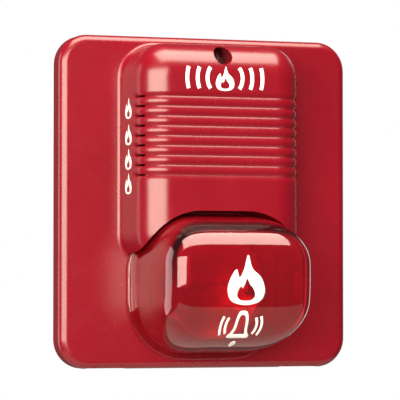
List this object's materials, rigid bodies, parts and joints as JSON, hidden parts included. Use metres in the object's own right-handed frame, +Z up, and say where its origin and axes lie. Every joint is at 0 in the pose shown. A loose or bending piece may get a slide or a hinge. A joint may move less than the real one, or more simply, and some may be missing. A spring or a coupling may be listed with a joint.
{
  "type": "horn strobe",
  "caption": "Wall-mounted fire alarm horn strobe: red plate, ribbed sounder tower and clear red dome lens; head tips open.",
  "frame": {"origin": "middle of the flat back face of the mounting base, the face that lies on the wall", "axes": "+Y into the wall, -Y out of the wall towards the viewer, +X to the right as seen from the front, +Z up"},
  "size_m": [0.119, 0.056, 0.13],
  "materials": {
    "red_housing": "glossy red moulded plastic with white printed marks",
    "lens_clear_red": "clear red-tinted polycarbonate, polished",
    "base_plastic": "black moulded plastic, fine matt texture",
    "ivory_plastic": "ivory moulded plastic",
    "gasket_rubber": "soft black rubber",
    "reflector_metallised": "metallised plastic, bright silver",
    "tube_glass": "clear glass",
    "plated_steel": "zinc-plated steel",
    "black_steel": "blackened steel",
    "brass": "plain brass",
    "copper_wire": "enamelled copper wire",
    "wire_insulation": "red wire insulation",
    "circuit_board": "green solder mask with tracks and pads",
    "component_sleeve": "black component plastic",
    "ferrite": "dark grey ferrite",
    "piezo_ceramic": "silvered ceramic disc"
  },
  "bodies": {
    "base": {"mounting_base": "base_plastic", "screw_insert": "brass", "terminal_block": "ivory_plastic", "terminal_clamp_1": "plated_steel", "terminal_clamp_2": "plated_steel", "terminal_clamp_3": "plated_steel", "terminal_clamp_4": "plated_steel", "terminal_screw_1": "plated_steel", "terminal_screw_2": "plated_steel", "terminal_screw_3": "plated_steel", "terminal_screw_4": "plated_steel", "contact_spring_1": "brass", "contact_spring_2": "brass", "contact_spring_3": "brass", "contact_spring_4": "brass"},
    "head": {"front_cover": "red_housing", "lens": "lens_clear_red", "lens_gasket": "gasket_rubber", "reflector": "reflector_metallised", "flash_tube": "tube_glass", "tube_cap_left": "plated_steel", "tube_cap_right": "plated_steel", "tube_holder_left": "gasket_rubber", "tube_holder_right": "gasket_rubber", "tube_lead_left": "wire_insulation", "tube_lead_right": "wire_insulation", "rear_cover": "base_plastic", "rear_screw_1": "plated_steel", "rear_screw_2": "plated_steel", "rear_screw_3": "plated_steel", "rear_screw_4": "plated_steel", "main_board": "circuit_board", "board_screw_1": "plated_steel", "board_screw_2": "plated_steel", "board_screw_3": "plated_steel", "board_screw_4": "plated_steel", "contact_pin_1": "brass", "contact_pin_2": "brass", "contact_pin_3": "brass", "contact_pin_4": "brass", "horn_chamber": "base_plastic", "horn_piezo": "piezo_ceramic", "horn_diaphragm": "brass", "horn_cap": "base_plastic", "storage_capacitor": "component_sleeve", "trigger_transformer": "ivory_plastic", "inductor_core": "ferrite", "inductor_winding": "copper_wire", "power_transistor": "component_sleeve", "control_chip": "component_sleeve", "selector_housing": "base_plastic", "option_housing": "base_plastic"},
    "clip": {"screw_clip": "plated_steel"},
    "screw": {"cover_screw": "black_steel"},
    "selector": {"candela_selector": "ivory_plastic"},
    "option_1": {"option_lever_1": "ivory_plastic"},
    "option_2": {"option_lever_2": "ivory_plastic"},
    "option_3": {"option_lever_3": "ivory_plastic"}
  },
  "joints": [
    {"name": "head_tilt", "type": "hinge", "parent": "base", "child": "head", "pos_m": [0, -0.0052, -0.0625], "axis": [1, 0, 0], "range_deg": [0, 32]},
    {"name": "screw_travel", "type": "slide", "parent": "head", "child": "clip", "axis": [0, -1, 0], "range_m": [0, 0.0036]},
    {"name": "screw_turn", "type": "hinge", "parent": "clip", "child": "screw", "pos_m": [0, -0.01, 0.0563], "axis": [0, -1, 0], "range_deg": [0, 2165]},
    {"name": "selector_slide", "type": "slide", "parent": "head", "child": "selector", "axis": [1, 0, 0], "range_m": [0, 0.0069]},
    {"name": "option_1_slide", "type": "slide", "parent": "head", "child": "option_1", "axis": [0, 0, 1], "range_m": [0, 0.0018]},
    {"name": "option_2_slide", "type": "slide", "parent": "head", "child": "option_2", "axis": [0, 0, 1], "range_m": [0, 0.0018]},
    {"name": "option_3_slide", "type": "slide", "parent": "head", "child": "option_3", "axis": [0, 0, 1], "range_m": [0, 0.0018]}
  ],
  "couplings": [
    {"joint": "screw_turn", "follows": "screw_travel", "rad_per_m": 10472}
  ]
}
